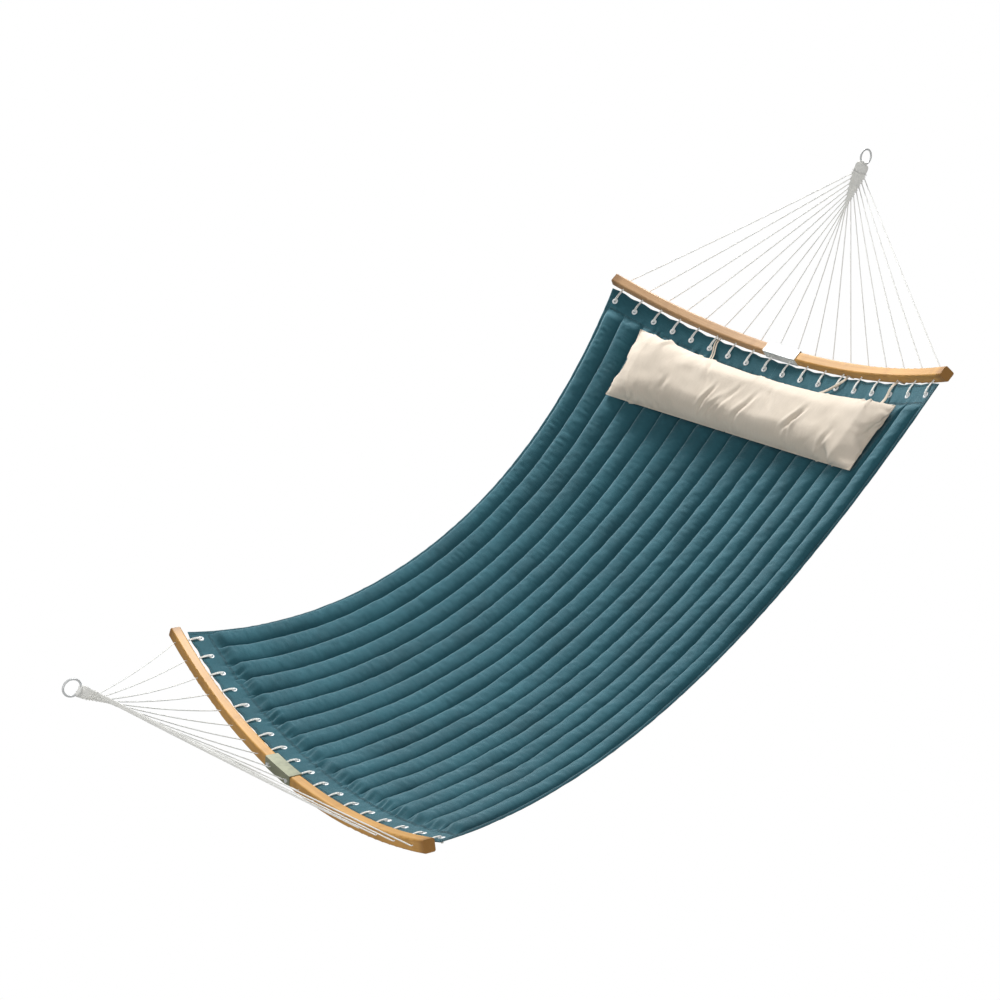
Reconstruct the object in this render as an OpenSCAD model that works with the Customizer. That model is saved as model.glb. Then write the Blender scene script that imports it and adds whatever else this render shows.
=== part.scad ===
// Quilted double hammock with folding, curved bamboo spreader bars.
// Millimetres, +Z up. The origin is the centre of the head ring; the foot ring lies towards -X
// and lower down. +Y is called the far side and -Y the near side.

/* [Bed] */
// Number of sewn channels, and of cords and eyelets at each end
channels = 18; // [18:2:18]
// Half the width of the bed at its two ends
bed_half_width = 695; // [690:1:696]
// How far each side edge pulls in at mid-length
bed_waist = 85; // [40:1:110]
// Catenary radius of the hanging bed
catenary = 1484; // [1400:1:1600]
// Slope of the bed at the head bar, in degrees
head_slope = 51.1; // [46:0.1:54]
// Slope of the bed at the foot bar, in degrees
foot_slope = -8; // [-12:0.1:-4]
// Height of the side edges over the centre line at mid-length
mid_sag = 61; // [40:1:90]
// Thickness of each fabric cover
cover_t = 3; // [2:0.5:4]
// Thickness of the wadding between the covers
wadding_t = 14; // [8:1:18]
// Length of the flat hem at each end
end_hem = 73; // [70:1:90]
// Width of the stitched hem along each side
side_hem = 12; // [8:1:16]

/* [Spreader bars] */
// Side of the square bar section
bar = 32; // [28:1:34]
// Rounding of the bar's long edges
bar_round = 5; // [2:1:8]
// Half the bar's span, measured straight across
bar_half_span = 700; // [698:1:706]
// Rise of the head bar's ends over its middle
head_rise = 155; // [140:1:170]
// Rise of the foot bar's ends over its middle
foot_rise = 135; // [120:1:150]
// Tilt of the head bar's flat side from level, in degrees
head_tilt = 40.2; // [38:0.1:42]
// Tilt of the foot bar's flat side from level, in degrees
foot_tilt = 6; // [4:0.1:8]
// Diameter of the cord holes through the bars
cord_hole = 4.4; // [4:0.1:6]

/* [Folding sleeve] */
// Half the length of the steel sleeve
sleeve_half = 68; // [66:1:70]
// Wall thickness of the sleeve
sleeve_t = 2; // [1.5:0.5:2.5]
// Gap between the sleeve and the bar
sleeve_gap = 0.4; // [0.3:0.1:0.6]
// Distance of each pivot bolt from the middle of the bar
pivot_y = 52; // [51:1:53]
// Diameter of the pivot bolts
bolt_d = 6; // [5:1:6]
// Difference between bore and bolt diameters
bolt_play = 0.1; // [0.06:0.02:0.16]
// Diameter of the bolt heads
bolt_head_d = 11; // [10:1:12]
// Thickness of the bolt heads
bolt_head_h = 3.5; // [3:0.5:4]
// Thickness of the nuts
nut_h = 5; // [4:0.5:6]

/* [Rings and cords] */
// Centre-line radius of the hanging rings
ring_r = 22; // [21:1:24]
// Diameter of the ring wire
ring_wire = 5.5; // [5:0.5:6]
// Distance from the head ring to the head bar
head_rope = 641; // [630:1:650]
// Angle of that line from level, in degrees
head_rope_angle = 62.9; // [60:0.1:66]
// Distance from the foot bar to the foot ring
foot_rope = 674; // [660:1:690]
// Angle of that line from level, in degrees
foot_rope_angle = 36.85; // [34:0.05:40]
// Diameter of the suspension cords
cord_d = 3.4; // [2.6:0.2:3.4]
// Length of the head clew
head_clew_l = 180; // [170:1:190]
// Length of the foot clew
foot_clew_l = 150; // [130:1:160]
// Width of the clews where they are widest
clew_w = 38; // [28:1:38]
// Thickness of the clews
clew_t = 7; // [6:0.5:8]

/* [Eyelets and loops] */
// Distance from the bar's centre line to the edge of the bed
bed_gap = 27; // [26:1:32]
// Distance from the bar's centre line to the row of eyelets
eyelet_at = 64; // [62:1:66]
// Outer diameter of an eyelet
eyelet_d = 20; // [16:1:20]
// Height of an eyelet through the hem
eyelet_h = 6; // [5:0.5:7]
// Diameter of the eyelet's hole
eyelet_hole = 8; // [8:0.5:10]
// Diameter of the loop cords
loop_d = 3.2; // [2.5:0.1:3.5]

/* [Pillow] */
// Distance from the head bar to the pillow's upper edge
pillow_from = 118; // [116:1:126]
// Width of the pillow along the bed
pillow_w = 238; // [220:1:260]
// Half the pillow's length, as a share of the bed's half width
pillow_half = 0.81; // [0.75:0.01:0.84]
// Sideways shift of the pillow, as a share of the bed's half width
pillow_shift = -0.06; // [-0.1:0.01:0]
// Thickness of the pillow at its middle
pillow_t = 84; // [60:1:100]
// Thickness of the pillow's cover
pillow_cover_t = 2; // [1.5:0.5:3]

/* [Hidden] */

FAR = 1;
NEAR = -1;
// Gap left between soft pieces on different bodies
clear = 0.5;
round_fn = 48;

bamboo = [0.80, 0.62, 0.36];
steel = [0.75, 0.76, 0.74];
cord_white = [0.90, 0.89, 0.84];
teal = [0.16, 0.34, 0.38];
beige = [0.87, 0.83, 0.77];
white_metal = [0.93, 0.94, 0.95];

function sinh(u) = (exp(u) - exp(-u)) / 2;
function cosh(u) = (exp(u) + exp(-u)) / 2;
function asinh(w) = ln(w + sqrt(w * w + 1));
// Height of a circular arc over its middle, for an arc of radius r at distance y from the middle
function arc_rise(r, y) = r - sqrt(r * r - y * y);
function arc_radius(half_span, rise) = (half_span * half_span + rise * rise) / (2 * rise);

// The hanging line: a catenary from the head bar down to the foot bar
u_head = asinh(tan(head_slope));
u_foot = asinh(tan(foot_slope));
line_l = catenary * (tan(head_slope) - tan(foot_slope));
head_x = -head_rope * cos(head_rope_angle);
head_z = -head_rope * sin(head_rope_angle);
foot_x = head_x + catenary * (u_foot - u_head);
foot_z = head_z + catenary * (cosh(u_foot) - cosh(u_head));

head_r = arc_radius(bar_half_span, head_rise);
foot_r = arc_radius(bar_half_span, foot_rise);
// Angle between the bed and the bar's flat side at each end
head_lean = head_slope - head_tilt;
foot_lean = -foot_slope - foot_tilt;
bed_head_rise = arc_rise(head_r, bed_half_width);
bed_foot_rise = arc_rise(foot_r, bed_half_width);

function line_u(s) = asinh(tan(head_slope) - s / catenary);
function line_x(s) = head_x + catenary * (line_u(s) - u_head);
function line_z(s) = head_z + catenary * (cosh(line_u(s)) - cosh(u_head));
// Direction of the bed's normal, square to the line but leaning with the bars at the ends
function normal_angle(s) = let (t = s / line_l)
    atan(tan(head_slope) - s / catenary) + 90 - head_lean * (1 - t) * (1 - t) - foot_lean * t * t;
function edge_width(t) = bed_half_width - bed_waist * 4 * t * (1 - t);
function edge_rise(t) = bed_head_rise * (1 - t) * (1 - t) + bed_foot_rise * t * t
    + 2 * mid_sag * t * (1 - t);
// A point of the bed: s along the line, v across from -1 to 1, lift along the normal
function bed_point(s, v, lift) = let (
    t = s / line_l,
    y = v * edge_width(t),
    up = arc_rise(arc_radius(edge_width(t), edge_rise(t)), y) + lift,
    n = normal_angle(s)
) [line_x(s) + up * cos(n), y, line_z(s) + up * sin(n)];

// Distance of column k, which is a cord hole, an eyelet and their loop, from the middle of the bar
pitch = 2 * bed_half_width / channels;
function column_y(k) = (k + 0.5) * pitch;
outer_columns = [for (k = [1 : channels / 2 - 1]) k];

hem_from = bed_gap;
hem_to = bed_gap + end_hem;
hem_t = 3;
// Share of the half width that belongs to the centre hem, between the two pivots
centre_share = 2 / channels;

// Closed slab over a grid of bed points, from lift low to lift high
module bed_slab(s0, s1, rows, v0, v1, columns, low, high) {
    ring = columns + 1;
    layer = (rows + 1) * ring;
    points = [for (lift = [low, high]) for (i = [0 : rows]) for (j = [0 : columns])
        bed_point(s0 + (s1 - s0) * i / rows, v0 + (v1 - v0) * j / columns, lift)];
    grid_solid(points, rows, columns, ring, layer);
}

// Triangles round two stacked layers of grid points
module grid_solid(points, rows, columns, ring, layer) {
    function at(i, j, k) = k * layer + i * ring + j;
    skins = [for (i = [0 : rows - 1]) for (j = [0 : columns - 1]) each [
        [at(i, j, 0), at(i + 1, j + 1, 0), at(i + 1, j, 0)],
        [at(i, j, 0), at(i, j + 1, 0), at(i + 1, j + 1, 0)],
        [at(i, j, 1), at(i + 1, j, 1), at(i + 1, j + 1, 1)],
        [at(i, j, 1), at(i + 1, j + 1, 1), at(i, j + 1, 1)]
    ]];
    ends = [for (j = [0 : columns - 1]) each [
        [at(0, j, 0), at(0, j + 1, 1), at(0, j + 1, 0)],
        [at(0, j, 0), at(0, j, 1), at(0, j + 1, 1)],
        [at(rows, j, 0), at(rows, j + 1, 0), at(rows, j + 1, 1)],
        [at(rows, j, 0), at(rows, j + 1, 1), at(rows, j, 1)]
    ]];
    sides = [for (i = [0 : rows - 1]) each [
        [at(i, 0, 0), at(i + 1, 0, 0), at(i + 1, 0, 1)],
        [at(i, 0, 0), at(i + 1, 0, 1), at(i, 0, 1)],
        [at(i, columns, 0), at(i + 1, columns, 1), at(i + 1, columns, 0)],
        [at(i, columns, 0), at(i, columns, 1), at(i + 1, columns, 1)]
    ]];
    polyhedron(points = points, faces = concat(skins, ends, sides));
}

// Straight round rod between two points
module rod(p, q, d) {
    v = q - p;
    translate(p)
        rotate([0, acos(v[2] / norm(v)), atan2(v[1], v[0])])
            cylinder(h = norm(v), d = d, $fn = round_fn);
}

// Places a part drawn in a bar's own frame: origin at the bar's middle, X out towards the ring,
// Z up in the plane of the bar's curve
module at_head() {
    translate([head_x, 0, head_z]) rotate([0, -head_tilt, 0]) children();
}
module at_foot() {
    translate([foot_x, 0, foot_z]) rotate([0, 0, 180]) rotate([0, -foot_tilt, 0]) children();
}

// Where a column crosses the bar, in the bar's frame, turned to lie on the bed's surface
module at_column(r, lean, y) {
    translate([0, y, arc_rise(r, y)]) rotate([asin(y / r), 0, 0]) rotate([0, -lean, 0]) children();
}

// Sweeps a flat section along the bar's curve from y0 to y1
module along_bar(r, y0, y1) {
    translate([0, 0, r])
        rotate([0, 90, 0])
            rotate([0, 0, asin(y0 / r)])
                rotate_extrude(angle = asin(y1 / r) - asin(y0 / r), $fn = 720)
                    translate([r, 0]) children();
}

module bar_section() {
    inner = bar - 2 * bar_round;
    square([bar, inner], center = true);
    square([inner, bar], center = true);
    for (x = [-1, 1]) for (y = [-1, 1])
        translate([x * inner / 2, y * inner / 2]) circle(r = bar_round, $fn = round_fn);
}

// Rod along X through the bar, used for bores
module cross_rod(y, z, d, l) {
    translate([-l / 2, y, z]) rotate([0, 90, 0]) cylinder(h = l, d = d, $fn = round_fn);
}

// Turns a part drawn on the +Y side over to the -Y side where side is negative
module flip(side) {
    if (side > 0) children();
    else mirror([0, 1, 0]) children();
}

// One half of a spreader bar on the side given, with its pivot eye and cord holes
module bar_half(r, side) {
    pivot_z = arc_rise(r, pivot_y);
    color(bamboo) flip(side) difference() {
        union() {
            along_bar(r, pivot_y, bar_half_span) bar_section();
            cross_rod(pivot_y, pivot_z, bar, bar);
        }
        cross_rod(pivot_y, pivot_z, bolt_d + bolt_play, 2 * bar);
        for (k = outer_columns)
            cross_rod(column_y(k), arc_rise(r, column_y(k)), cord_hole, 2 * bar);
    }
}

sleeve_in = bar / 2 + sleeve_gap;
sleeve_out = sleeve_in + sleeve_t;
// How far the sleeve's walls stop above the bar's underside
sleeve_short = 3;

// Steel channel over the joint: closed above, open below
module sleeve(r) {
    pivot_z = arc_rise(r, pivot_y);
    color(steel) difference() {
        along_bar(r, -sleeve_half, sleeve_half)
            translate([-sleeve_out, -sleeve_out])
                square([sleeve_out + bar / 2 - sleeve_short, 2 * sleeve_out]);
        along_bar(r, -sleeve_half - 1, sleeve_half + 1)
            translate([-sleeve_in, -sleeve_in])
                square([2 * sleeve_in + bar, 2 * sleeve_in]);
        for (side = [FAR, NEAR]) {
            cross_rod(side * pivot_y, pivot_z, bolt_d + bolt_play, 2 * bar);
            cross_rod(side * column_y(0), arc_rise(r, column_y(0)), cord_hole, 2 * bar);
        }
    }
}

module pivot_bolts(r) {
    shank = 2 * sleeve_out + nut_h + 1;
    color(steel) for (side = [FAR, NEAR])
        translate([sleeve_out, side * pivot_y, arc_rise(r, pivot_y)]) rotate([0, 90, 0]) {
            cylinder(h = bolt_head_h, d = bolt_head_d, $fn = round_fn);
            translate([0, 0, -shank]) cylinder(h = shank, d = bolt_d, $fn = round_fn);
        }
}

module pivot_nuts(r) {
    color(steel) for (side = [FAR, NEAR])
        translate([-sleeve_out - nut_h, side * pivot_y, arc_rise(r, pivot_y)]) rotate([0, 90, 0])
            difference() {
                cylinder(h = nut_h, d = bolt_head_d, $fn = 6);
                translate([0, 0, -1])
                    cylinder(h = nut_h + 2, d = bolt_d + bolt_play, $fn = round_fn);
            }
}

// Bent steel wire ring, lying in the XZ plane
module hanging_ring() {
    color(steel) rotate([90, 0, 0])
        rotate_extrude($fn = 96) translate([ring_r, 0]) circle(d = ring_wire, $fn = round_fn);
}

// The clew's frame: origin at the ring's centre, X pointing down the rope towards the bar
module at_head_ring() {
    rotate([0, 180 - head_rope_angle, 0]) children();
}
module at_foot_ring() {
    translate([foot_x - foot_rope * cos(foot_rope_angle), 0, foot_z + foot_rope * sin(foot_rope_angle)])
        rotate([0, foot_rope_angle, 0]) children();
}

// Eye that hangs on the ring wire, with room to swing
eye_r = 8;
eye_tube = 6;
clew_from = ring_r + eye_r + eye_tube / 2 - 1;
clew_wide_at = clew_from + 22;
clew_neck = 12;
clew_tip = 7;

// Flat plaited band with its eye round the ring wire
module clew(l) {
    color(cord_white) {
        translate([ring_r, 0, 0])
            rotate_extrude($fn = 64) translate([eye_r, 0]) circle(d = eye_tube, $fn = 32);
        translate([0, 0, -clew_t / 2]) linear_extrude(clew_t) polygon([
            [clew_from, -clew_neck / 2], [clew_wide_at, -clew_w / 2], [l, -clew_tip / 2],
            [l, clew_tip / 2], [clew_wide_at, clew_w / 2], [clew_from, clew_neck / 2]
        ]);
    }
}

// Where the cord of column k leaves the clew, as a distance down it and a distance from its middle
cord_off = 2.6;
function leave_x(k, l) = let (share = (channels / 2 - 1 - k) / (channels / 2 - 1))
    clew_wide_at + 6 + (l - clew_wide_at - 6) * share;
function leave_y(k, l) = let (share = (leave_x(k, l) - clew_wide_at) / (l - clew_wide_at))
    (clew_w + (clew_tip - clew_w) * share) / 2 + cord_off;

// Cords of one side, in the bar's frame: from the clew to 2 mm short of the bar
module cords(r, rope, lean, clew_l, columns, side, face) {
    ring = [rope * cos(lean), 0, rope * sin(lean)];
    down = [-cos(lean), 0, -sin(lean)];
    color(cord_white) for (k = columns)
        rod(ring + leave_x(k, clew_l) * down + [0, side * leave_y(k, clew_l), 0],
            [face + 2, side * column_y(k), arc_rise(r, column_y(k))], cord_d);
}
head_cord_lean = head_rope_angle - head_tilt;
foot_cord_lean = foot_rope_angle - foot_tilt;

// Loop from the bar, over the hem's edge and down through an eyelet to its knot
over_hem = 5.5;
knot_d = 6.8;
module loops(r, lean, columns, side, face) {
    color(cord_white) for (k = columns)
        at_column(r, lean, side * column_y(k)) {
            rod([-face - 4.5, 0, over_hem + 1.5], [-eyelet_at, 0, over_hem], loop_d);
            translate([-eyelet_at, 0, over_hem]) sphere(d = loop_d, $fn = 32);
            rod([-eyelet_at, 0, over_hem], [-eyelet_at, 0, -over_hem - 2], loop_d);
            translate([-eyelet_at, 0, -over_hem - 3]) sphere(d = knot_d, $fn = 32);
        }
}

module eyelets(r, lean, columns, side) {
    color(white_metal) for (k = columns)
        at_column(r, lean, side * column_y(k)) translate([-eyelet_at, 0, -eyelet_h / 2])
            difference() {
                cylinder(h = eyelet_h, d = eyelet_d, $fn = round_fn);
                translate([0, 0, -1]) cylinder(h = eyelet_h + 2, d = eyelet_hole, $fn = round_fn);
            }
}

// End hems: the outer ones fold with the bar halves, the centre one stays on the sleeve's loops
module end_hem_part(from, to, v0, v1, columns) {
    color(teal) difference() {
        bed_slab(from, to, 2, v0, v1, columns, -hem_t / 2, hem_t / 2);
        children();
    }
}
// Length of the tool that cuts the holes, more than the hem is thick
hem_hole_h = 20;
// Holes in a hem under its eyelets
module hem_holes(r, lean, columns, side) {
    for (k = columns)
        at_column(r, lean, side * column_y(k)) translate([-eyelet_at, 0, -hem_hole_h / 2])
            cylinder(h = hem_hole_h, d = eyelet_hole + 1, $fn = round_fn);
}
// Half the gap between the centre hem and each outer one, as a share of the bed's half width
split = clear / bed_half_width;
hem_columns = 12;

bed_from = hem_to + clear;
bed_to = line_l - hem_to - clear;
bed_rows = 34;
bed_columns = 16;
half_wadding = wadding_t / 2;
side_share = side_hem / bed_half_width;
bed_edge = 1 - side_share;
module bed_layer(low, high) {
    color(teal) bed_slab(bed_from, bed_to, bed_rows, -bed_edge, bed_edge, bed_columns, low, high);
}
side_from = bed_edge + 0.15 / bed_half_width;
module side_hem_strip(side) {
    color(teal) bed_slab(bed_from, bed_to, bed_rows,
        side > 0 ? side_from : -1, side > 0 ? 1 : -side_from, 1, -hem_t, hem_t);
}

// Pillow: a cushion lying on the bed, full in the middle and thin at its seams
pillow_base = half_wadding + cover_t + 1;
pillow_rows = 8;
pillow_columns = 20;
pillow_edge_t = 10;
// Fullness over the pillow, from 0 at the seams to 1 in the middle
function fullness(p, q) = sqrt(max(0, 1 - pow(abs(2 * p - 1), 3))) * sqrt(max(0, 1 - pow(abs(q), 6)));
module cushion(inset) {
    v_inset = inset / bed_half_width;
    points = [for (top = [0, 1]) for (i = [0 : pillow_rows]) for (j = [0 : pillow_columns])
        let (
            p = i / pillow_rows,
            q = 2 * j / pillow_columns - 1,
            full = pillow_edge_t + (pillow_t - pillow_edge_t) * fullness(p, q),
            s = pillow_from + inset + (pillow_w - 2 * inset) * p,
            v = pillow_shift + (pillow_half - v_inset) * q
        ) bed_point(s, v, pillow_base + (top == 1 ? full - inset : inset))];
    grid_solid(points, pillow_rows, pillow_columns, pillow_columns + 1,
        (pillow_rows + 1) * (pillow_columns + 1));
}
module pillow_cover_shell() {
    color(beige) difference() {
        cushion(0);
        cushion(pillow_cover_t);
    }
}

// Ties: [place along the pillow's edge, place along the bar], as shares of the bed's half width
tie_places = [[0.33, 0.37], [-0.31, -0.42], [-0.76, -0.73]];
tie_w = 7;
tie_t = 2;
// Distance from the bar's centre line to the end of each tie
tie_stop = 28;
module ties() {
    lift = pillow_base + 4.5;
    color(beige) for (place = tie_places) {
        from = bed_point(pillow_from - 4, place[0], lift);
        to = bed_point(tie_stop, place[1], lift);
        v = to - from;
        translate(from)
            rotate([0, acos(v[2] / norm(v)), atan2(v[1], v[0])])
                translate([-tie_t / 2, -tie_w / 2, 0]) cube([tie_t, tie_w, norm(v)]);
    }
}

hanging_ring();  // head_ring
at_foot_ring() hanging_ring();  // foot_ring
at_head_ring() clew(head_clew_l);  // head_clew
at_foot_ring() clew(foot_clew_l);  // foot_clew
at_head() cords(head_r, head_rope, head_cord_lean, head_clew_l, outer_columns, FAR, bar / 2);  // head_cords_far
at_head() cords(head_r, head_rope, head_cord_lean, head_clew_l, outer_columns, NEAR, bar / 2);  // head_cords_near
at_head() for (side = [FAR, NEAR])  // head_cords_centre
        cords(head_r, head_rope, head_cord_lean, head_clew_l, [0], side, sleeve_out);
at_foot() cords(foot_r, foot_rope, foot_cord_lean, foot_clew_l, outer_columns, -FAR, bar / 2);  // foot_cords_far
at_foot() cords(foot_r, foot_rope, foot_cord_lean, foot_clew_l, outer_columns, -NEAR, bar / 2);  // foot_cords_near
at_foot() for (side = [FAR, NEAR])  // foot_cords_centre
        cords(foot_r, foot_rope, foot_cord_lean, foot_clew_l, [0], side, sleeve_out);
at_head() sleeve(head_r);  // head_sleeve
at_foot() sleeve(foot_r);  // foot_sleeve
at_head() pivot_bolts(head_r);  // head_pivot_bolts
at_foot() pivot_bolts(foot_r);  // foot_pivot_bolts
at_head() pivot_nuts(head_r);  // head_pivot_nuts
at_foot() pivot_nuts(foot_r);  // foot_pivot_nuts
at_head() bar_half(head_r, FAR);  // head_bar_half_far
at_head() bar_half(head_r, NEAR);  // head_bar_half_near
at_foot() bar_half(foot_r, -FAR);  // foot_bar_half_far
at_foot() bar_half(foot_r, -NEAR);  // foot_bar_half_near
at_head() loops(head_r, head_lean, outer_columns, FAR, bar / 2);  // head_loops_far
at_head() loops(head_r, head_lean, outer_columns, NEAR, bar / 2);  // head_loops_near
at_head() for (side = [FAR, NEAR]) loops(head_r, head_lean, [0], side, sleeve_out);  // head_loops_centre
at_foot() loops(foot_r, foot_lean, outer_columns, -FAR, bar / 2);  // foot_loops_far
at_foot() loops(foot_r, foot_lean, outer_columns, -NEAR, bar / 2);  // foot_loops_near
at_foot() for (side = [FAR, NEAR]) loops(foot_r, foot_lean, [0], side, sleeve_out);  // foot_loops_centre
at_head() eyelets(head_r, head_lean, outer_columns, FAR);  // head_eyelets_far
at_head() eyelets(head_r, head_lean, outer_columns, NEAR);  // head_eyelets_near
at_head() for (side = [FAR, NEAR]) eyelets(head_r, head_lean, [0], side);  // head_eyelets_centre
at_foot() eyelets(foot_r, foot_lean, outer_columns, -FAR);  // foot_eyelets_far
at_foot() eyelets(foot_r, foot_lean, outer_columns, -NEAR);  // foot_eyelets_near
at_foot() for (side = [FAR, NEAR]) eyelets(foot_r, foot_lean, [0], side);  // foot_eyelets_centre
end_hem_part(hem_from, hem_to, centre_share + split, 1, hem_columns)  // head_hem_far
        at_head() hem_holes(head_r, head_lean, outer_columns, FAR);
end_hem_part(hem_from, hem_to, -1, -centre_share - split, hem_columns)  // head_hem_near
        at_head() hem_holes(head_r, head_lean, outer_columns, NEAR);
end_hem_part(hem_from, hem_to, -centre_share, centre_share, 2)  // head_hem_centre
        at_head() for (side = [FAR, NEAR]) hem_holes(head_r, head_lean, [0], side);
end_hem_part(line_l - hem_to, line_l - hem_from, centre_share + split, 1, hem_columns)  // foot_hem_far
        at_foot() hem_holes(foot_r, foot_lean, outer_columns, -FAR);
end_hem_part(line_l - hem_to, line_l - hem_from, -1, -centre_share - split, hem_columns)  // foot_hem_near
        at_foot() hem_holes(foot_r, foot_lean, outer_columns, -NEAR);
end_hem_part(line_l - hem_to, line_l - hem_from, -centre_share, centre_share, 2)  // foot_hem_centre
        at_foot() for (side = [FAR, NEAR]) hem_holes(foot_r, foot_lean, [0], side);
bed_layer(half_wadding, half_wadding + cover_t);  // bed_top_cover
bed_layer(-half_wadding, half_wadding);  // bed_wadding
bed_layer(-half_wadding - cover_t, -half_wadding);  // bed_bottom_cover
side_hem_strip(FAR);  // side_hem_far
side_hem_strip(NEAR);  // side_hem_near
pillow_cover_shell();  // pillow_cover
color(beige) cushion(pillow_cover_t + 0.3);  // pillow_filling
ties();  // pillow_ties
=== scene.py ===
import math

import bpy
import numpy as np
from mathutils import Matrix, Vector


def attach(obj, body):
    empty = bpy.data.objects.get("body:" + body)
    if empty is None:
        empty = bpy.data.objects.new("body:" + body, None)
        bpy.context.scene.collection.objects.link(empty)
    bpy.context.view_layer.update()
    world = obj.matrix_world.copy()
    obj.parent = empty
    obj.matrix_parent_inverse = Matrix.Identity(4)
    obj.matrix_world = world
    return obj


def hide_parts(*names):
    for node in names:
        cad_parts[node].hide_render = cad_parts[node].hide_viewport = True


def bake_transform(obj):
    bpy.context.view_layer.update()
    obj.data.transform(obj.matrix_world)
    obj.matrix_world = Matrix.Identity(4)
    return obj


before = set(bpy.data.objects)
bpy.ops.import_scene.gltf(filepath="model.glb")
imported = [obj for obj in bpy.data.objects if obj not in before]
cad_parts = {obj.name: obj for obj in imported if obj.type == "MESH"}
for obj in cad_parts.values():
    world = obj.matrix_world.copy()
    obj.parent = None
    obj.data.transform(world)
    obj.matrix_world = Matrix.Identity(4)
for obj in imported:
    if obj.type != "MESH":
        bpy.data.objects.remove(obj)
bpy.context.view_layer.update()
scene = bpy.context.scene

# ---- sizes, in metres
CHANNELS = 18
HALF_WIDTH = 0.695
WAIST = 0.085
CATENARY = 1.484
HEAD_SLOPE = math.radians(51.1)
FOOT_SLOPE = math.radians(-8)
HEAD_TILT = math.radians(40.2)
FOOT_TILT = math.radians(6)
MID_SAG = 0.061
BAR = 0.032
BAR_HALF_SPAN = 0.700
HEAD_RISE = 0.155
FOOT_RISE = 0.135
HEAD_ROPE = 0.641
FOOT_ROPE = 0.674
HEAD_ROPE_ANGLE = math.radians(62.9)
FOOT_ROPE_ANGLE = math.radians(36.85)
SLEEVE_OUT = 0.0184
PIVOT_Y = 0.052
RING_R = 0.022
CORD_D = 0.0034
CLEW_WIDE_AT = 0.054
HEAD_CLEW_L = 0.180
FOOT_CLEW_L = 0.150
# Clew band: its turn about the rope at the ring, and the spacing and size of its strands
BAND_TURN = math.radians(50)
STRAND_PITCH = 0.0022
STRAND_R = 0.00140
CROSS_STRAND_R = 0.00135
WEAVE_STEP = 0.0075
WRAP_SPREAD = 0.0014
WRAP_R = 0.0042
# Laid cords: the length of one turn, and the radius of loops and knots
CORD_LAY = 0.016
STRAND_LAY = 0.012
LOOP_LAY = 0.010
LOOP_STRAND_R = 0.0016
KNOT_STRAND_R = 0.0014
EYELET_AT = 0.064
EYELET_R = 0.010
EYELET_HOLE_R = 0.0040
EYELET_H = 0.0075
HEM_FROM = 0.027
HEM_TO = 0.100
SIDE_HEM = 0.012
PILLOW_FROM = 0.118
PILLOW_WIDTH = 0.238
PILLOW_HALF = 0.81
PILLOW_SHIFT = -0.06
PILLOW_BASE = 0.011
TIE_PLACES = [(0.33, 0.37), (-0.31, -0.42), (-0.76, -0.73)]
TIE_T = 0.0014
FAR, NEAR = 1, -1
SIDES = {"far": FAR, "near": NEAR}
# Camera, and the point that the lights and surroundings centre on
CAMERA_AT = (-3.685, -3.356, 0.702)
CAMERA_LOOK = (0.536, 0.769, -0.3485)
CAMERA_LENS = 57.27
MIDDLE = (-1.2, 0, -0.9)
FLOOR_Z = -9.0
WORLD_STRENGTH = 0.36


def arc_radius(half_span, rise):
    """Radius of an arc whose ends rise over its middle."""
    return (half_span**2 + rise**2) / (2 * rise)


def arc_rise(radius, y):
    """Rise of an arc at distance y from its middle."""
    return radius - np.sqrt(radius**2 - np.square(y))


# ---- shape of the hanging bed
U_HEAD = math.asinh(math.tan(HEAD_SLOPE))
U_FOOT = math.asinh(math.tan(FOOT_SLOPE))
LINE_L = CATENARY * (math.tan(HEAD_SLOPE) - math.tan(FOOT_SLOPE))
HEAD_X = -HEAD_ROPE * math.cos(HEAD_ROPE_ANGLE)
HEAD_Z = -HEAD_ROPE * math.sin(HEAD_ROPE_ANGLE)
FOOT_X = HEAD_X + CATENARY * (U_FOOT - U_HEAD)
FOOT_Z = HEAD_Z + CATENARY * (math.cosh(U_FOOT) - math.cosh(U_HEAD))
HEAD_R = arc_radius(BAR_HALF_SPAN, HEAD_RISE)
FOOT_R = arc_radius(BAR_HALF_SPAN, FOOT_RISE)
HEAD_LEAN = HEAD_SLOPE - HEAD_TILT
FOOT_LEAN = -FOOT_SLOPE - FOOT_TILT
PITCH = 2 * HALF_WIDTH / CHANNELS
MID_LENGTH = LINE_L / 2


def column_y(k):
    """Distance of column k, with its cord, loop and eyelet, from the middle of the bar."""
    return (k + 0.5) * PITCH


def edge_width(t):
    """Half width of the bed at share t of its length."""
    return HALF_WIDTH - WAIST * 4 * t * (1 - t)


def bed_point(s, v, lift):
    """Point of the bed: s along it from the head bar, v across from -1 to 1, lift off its middle."""
    t = s / LINE_L
    u = np.arcsinh(math.tan(HEAD_SLOPE) - s / CATENARY)
    width = edge_width(t)
    head_part = arc_rise(HEAD_R, HALF_WIDTH) * (1 - t) ** 2
    foot_part = arc_rise(FOOT_R, HALF_WIDTH) * t**2
    rise = head_part + foot_part + 2 * MID_SAG * t * (1 - t)
    y = v * width
    up = arc_rise(arc_radius(width, rise), y) + lift
    slope = np.arctan(math.tan(HEAD_SLOPE) - s / CATENARY)
    normal = slope + math.pi / 2 - HEAD_LEAN * (1 - t) ** 2 - FOOT_LEAN * t**2
    x = HEAD_X + CATENARY * (u - U_HEAD) + up * np.cos(normal)
    z = HEAD_Z + CATENARY * (np.cosh(u) - math.cosh(U_HEAD)) + up * np.sin(normal)
    return np.stack(np.broadcast_arrays(x, y, z), -1)


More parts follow.
